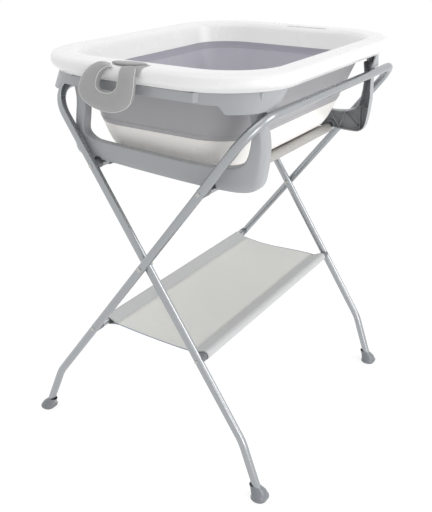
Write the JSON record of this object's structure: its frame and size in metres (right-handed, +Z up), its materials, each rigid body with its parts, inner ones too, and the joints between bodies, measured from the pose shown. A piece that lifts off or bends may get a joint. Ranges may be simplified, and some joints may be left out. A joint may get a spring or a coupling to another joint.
{
  "type": "changing table",
  "caption": "Foldable baby bath with a collapsible tub, hinged tub legs and a head pad, standing on a folding X-frame of bent tube with a fabric shelf and sling.",
  "frame": {"origin": "on the floor, under the middle of the whole object's box", "axes": "+X along the tub away from its head-pad end, +Y towards the back of the stand, +Z up"},
  "size_m": [0.8388, 0.676, 0.9293],
  "materials": {
    "tube": "satin silver-grey paint on steel tube",
    "fastener": "bright zinc-plated steel",
    "foot_plastic": "glossy blue-grey moulding",
    "dark_plastic": "matte dark grey moulding",
    "rim_plastic": "semi-gloss white moulding",
    "grey_plastic": "satin light grey moulding",
    "band_rubber": "soft matte grey elastomer",
    "grip_rubber": "dark rubber",
    "shelf_fabric": "light grey woven nylon",
    "sling_fabric": "light grey woven nylon",
    "pad_fabric": "grey padded fabric with lighter piping"
  },
  "bodies": {
    "outer_frame": {"outer_top_bar": "tube", "outer_leg_left": "tube", "outer_leg_right": "tube", "outer_sling_bar": "tube", "outer_shelf_bar": "tube", "outer_bar_ends": "foot_plastic", "outer_splices": "fastener", "outer_rivets": "fastener", "outer_foot_left": "foot_plastic", "outer_foot_right": "foot_plastic", "pivot_bolts": "fastener", "pivot_spacers": "dark_plastic", "sling_cloth": "sling_fabric", "shelf_cloth": "shelf_fabric"},
    "inner_frame": {"inner_top_bar": "tube", "inner_leg_left": "tube", "inner_leg_right": "tube", "inner_sling_bar": "tube", "inner_shelf_bar": "tube", "inner_bar_ends": "foot_plastic", "inner_splices": "fastener", "inner_rivets": "fastener", "inner_foot_left": "foot_plastic", "inner_foot_right": "foot_plastic"},
    "tub": {"tub_rim": "rim_plastic", "end_skirt_left": "grey_plastic", "end_skirt_right": "grey_plastic", "skirt_screws": "fastener", "leg_pins_left": "fastener", "leg_pins_right": "fastener", "rim_plate": "rim_plastic", "collapsible_band": "band_rubber"},
    "tub_floor": {"tub_bottom": "rim_plastic", "drain_ring": "grey_plastic"},
    "plug": {"drain_plug": "dark_plastic"},
    "near_leg": {"tub_leg_left": "grey_plastic", "leg_grips_left": "grip_rubber"},
    "far_leg": {"tub_leg_right": "grey_plastic", "leg_grips_right": "grip_rubber"},
    "pad": {"head_pad": "pad_fabric", "pad_tab": "pad_fabric"}
  },
  "joints": [
    {"name": "tub_lift", "type": "slide", "parent": "outer_frame", "child": "tub", "axis": [0, 0, 1], "range_m": [0, 1.79]},
    {"name": "stand_fold", "type": "hinge", "parent": "outer_frame", "child": "inner_frame", "pos_m": [0.0219, 0, 0.499], "axis": [1, 0, 0], "range_deg": [0, 57], "deforming": ["sling_cloth", "shelf_cloth"]},
    {"name": "tub_collapse", "type": "slide", "parent": "tub", "child": "tub_floor", "axis": [0, 0, 1], "range_m": [0, 0.082], "deforming": ["collapsible_band"]},
    {"name": "near_leg_fold", "type": "hinge", "parent": "tub", "child": "near_leg", "pos_m": [-0.3031, 0, 0.872], "axis": [0, -1, 0], "range_deg": [0, 26]},
    {"name": "far_leg_fold", "type": "hinge", "parent": "tub", "child": "far_leg", "pos_m": [0.2789, 0, 0.872], "axis": [0, 1, 0], "range_deg": [0, 26]},
    {"name": "plug_pull", "type": "slide", "parent": "tub_floor", "child": "plug", "axis": [0, 0, 1], "range_m": [0, 0.05]},
    {"name": "pad_lift", "type": "slide", "parent": "tub", "child": "pad", "axis": [0, 0, 1], "range_m": [0, 0.12]}
  ],
  "couplings": [
    {"joint": "stand_fold", "follows": "tub_lift", "rad_per_m": 0.555},
    {"joint": "near_leg_fold", "follows": "tub_collapse", "rad_per_m": 5.5},
    {"joint": "far_leg_fold", "follows": "tub_collapse", "rad_per_m": 5.5}
  ]
}
